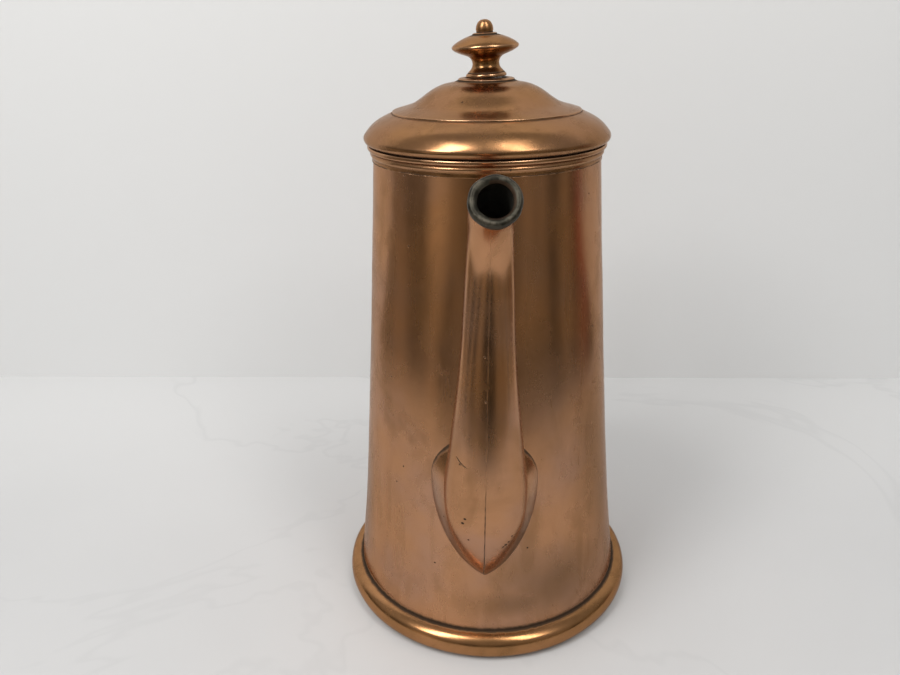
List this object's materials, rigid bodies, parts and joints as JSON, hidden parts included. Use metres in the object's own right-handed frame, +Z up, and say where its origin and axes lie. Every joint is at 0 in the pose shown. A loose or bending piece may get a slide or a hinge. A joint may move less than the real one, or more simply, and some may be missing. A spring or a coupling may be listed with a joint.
{
  "type": "coffee pot",
  "caption": "Tall tapered copper coffee pot with a gooseneck spout, a hinged domed lid with a turned knob, a rolled foot and a curved wooden handle.",
  "frame": {"origin": "on the body's axis, in the plane that the pot stands on", "axes": "+Z up along the body's axis, spout towards -Y, handle and lid hinge towards +Y, +X to the right when looking at the spout"},
  "size_m": [0.1492, 0.238, 0.2805],
  "materials": {
    "copper_body": "aged, satin copper with brown streaks",
    "copper_base": "dull aged copper, tinned inside",
    "copper_foot": "aged, polished copper with dirt in the crevice",
    "copper_collar": "aged copper with dark seam lines",
    "copper_spout": "aged, satin copper",
    "tinned_lip": "darkened tin and solder",
    "copper_lid": "aged, browner copper",
    "tinned_bezel": "dull tin",
    "copper_knob": "aged, polished copper with dirt in the crevices",
    "copper_sockets": "aged copper",
    "brass_hinge": "aged brass",
    "brass_pins": "aged brass",
    "grip_wood": "dark, oiled hardwood"
  },
  "bodies": {
    "pot": {"body_wall": "copper_body", "base_pan": "copper_base", "foot_ring": "copper_foot", "rim_collar": "copper_collar", "spout_left_half": "copper_spout", "spout_right_half": "copper_spout", "spout_lip": "tinned_lip", "handle_upper_socket": "copper_sockets", "handle_lower_socket": "copper_sockets", "handle_grip": "grip_wood", "handle_pins": "brass_pins", "hinge_body_leaf": "brass_hinge", "hinge_pin": "brass_pins"},
    "lid": {"lid_rim_moulding": "copper_lid", "lid_dome": "copper_lid", "lid_bezel": "tinned_bezel", "knob_washer": "copper_knob", "knob": "copper_knob", "finial_nut": "copper_knob", "knob_stud": "brass_pins", "knob_inner_washer": "brass_pins", "knob_lock_nut": "brass_pins", "hinge_lid_leaf": "brass_hinge"}
  },
  "joints": [
    {"name": "lid_hinge", "type": "hinge", "parent": "pot", "child": "lid", "pos_m": [0, 0.0605, 0.2325], "axis": [-1, 0, 0], "range_deg": [0, 105]}
  ]
}
